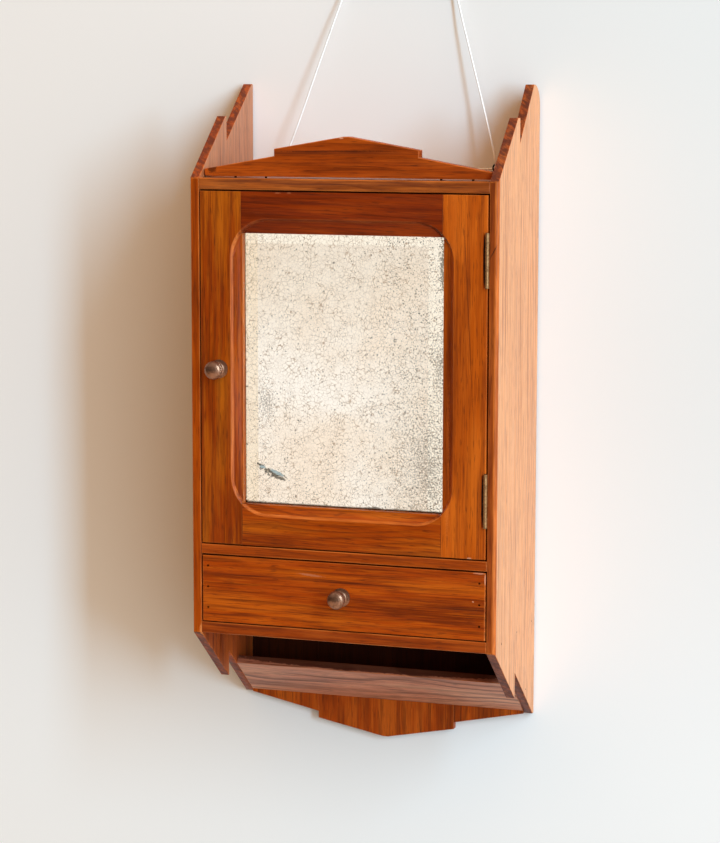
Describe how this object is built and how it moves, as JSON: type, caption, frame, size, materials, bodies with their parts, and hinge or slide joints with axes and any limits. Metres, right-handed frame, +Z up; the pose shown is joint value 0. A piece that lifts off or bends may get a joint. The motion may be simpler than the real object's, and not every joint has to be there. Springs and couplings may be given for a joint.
{
  "type": "mirrored wall cabinet",
  "caption": "Small wooden wall cabinet with a bevelled mirror door, a drawer below it, an open trough at the foot, stepped side boards, a low crest and a hanging cord.",
  "frame": {"origin": "middle of the back on the wall plane, half way up the boxed case between the top of the top board and the underside of the drawer board", "axes": "+X to the viewer's right, +Y from the front into the wall, +Z up"},
  "size_m": [0.335, 0.181, 0.8231],
  "materials": {
    "side_wood": "varnished reddish teak, vertical grain, satin",
    "case_wood": "varnished reddish teak, grain along the board, satin",
    "back_wood": "varnished teak boards, vertical grain",
    "trough_wood": "varnished teak with a greyish sheen",
    "crest_wood": "varnished reddish teak, satin",
    "peg_wood": "dark hardwood pegs",
    "door_wood": "varnished reddish teak, satin",
    "drawer_front_wood": "varnished streaky teak, satin",
    "drawer_box_wood": "plain unfinished wood",
    "inner_wood": "thinly varnished wood",
    "bead_wood": "thinly varnished wood",
    "backing_board": "thin dark backing board",
    "mirror_glass": "bevelled mirror glass",
    "mirror_silver": "aged silvering with fine cracks and specks",
    "hinge_brass": "aged khaki brass",
    "hinge_screws": "aged brass",
    "catch_brass": "worn brass",
    "catch_steel": "polished steel ball",
    "knob_bronze": "brown bronzed metal, rubbed bright at the rim",
    "knob_screws": "dull steel",
    "screw_eyes": "black iron wire",
    "nails": "dark rusted steel",
    "hanging_cord": "off-white string"
  },
  "bodies": {
    "case": {"side_panel_left": "side_wood", "side_panel_right": "side_wood", "top_board": "case_wood", "middle_board": "case_wood", "drawer_board": "case_wood", "back_board_left": "back_wood", "back_board_centre": "back_wood", "back_board_right": "back_wood", "trough_front": "trough_wood", "crest_board": "crest_wood", "crest_pegs": "peg_wood", "inner_shelf": "inner_wood", "shelf_batten_left": "inner_wood", "shelf_batten_right": "inner_wood", "door_stop": "inner_wood", "case_nails": "nails", "back_nails": "nails", "catch_plate": "catch_brass", "screw_eye_left": "screw_eyes", "screw_eye_right": "screw_eyes", "hanging_cord": "hanging_cord", "cord_knot": "hanging_cord", "hinge_upper_case_leaf": "hinge_brass", "hinge_lower_case_leaf": "hinge_brass", "hinge_upper_pin": "hinge_brass", "hinge_lower_pin": "hinge_brass", "hinge_case_screws": "hinge_screws"},
    "door": {"door_stile_left": "door_wood", "door_stile_right": "door_wood", "door_rail_top": "door_wood", "door_rail_bottom": "door_wood", "mirror_glass": "mirror_glass", "mirror_silvering": "mirror_silver", "mirror_backing": "backing_board", "mirror_bead_top": "bead_wood", "mirror_bead_bottom": "bead_wood", "mirror_bead_left": "bead_wood", "mirror_bead_right": "bead_wood", "bead_pins": "nails", "hinge_upper_door_leaf": "hinge_brass", "hinge_lower_door_leaf": "hinge_brass", "hinge_door_screws": "hinge_screws", "door_knob": "knob_bronze", "door_knob_screw": "knob_screws", "catch_barrel": "catch_brass", "catch_ball": "catch_steel"},
    "drawer": {"drawer_front": "drawer_front_wood", "drawer_side_left": "drawer_box_wood", "drawer_side_right": "drawer_box_wood", "drawer_back": "drawer_box_wood", "drawer_bottom": "drawer_box_wood", "drawer_nails": "nails", "drawer_knob": "knob_bronze", "drawer_knob_screw": "knob_screws"}
  },
  "joints": [
    {"name": "door_hinge", "type": "hinge", "parent": "case", "child": "door", "pos_m": [0.156, -0.1592, 0], "axis": [0, 0, 1], "range_deg": [0, 170]},
    {"name": "drawer_slide", "type": "slide", "parent": "case", "child": "drawer", "axis": [0, -1, 0], "range_m": [0, 0.11]}
  ]
}
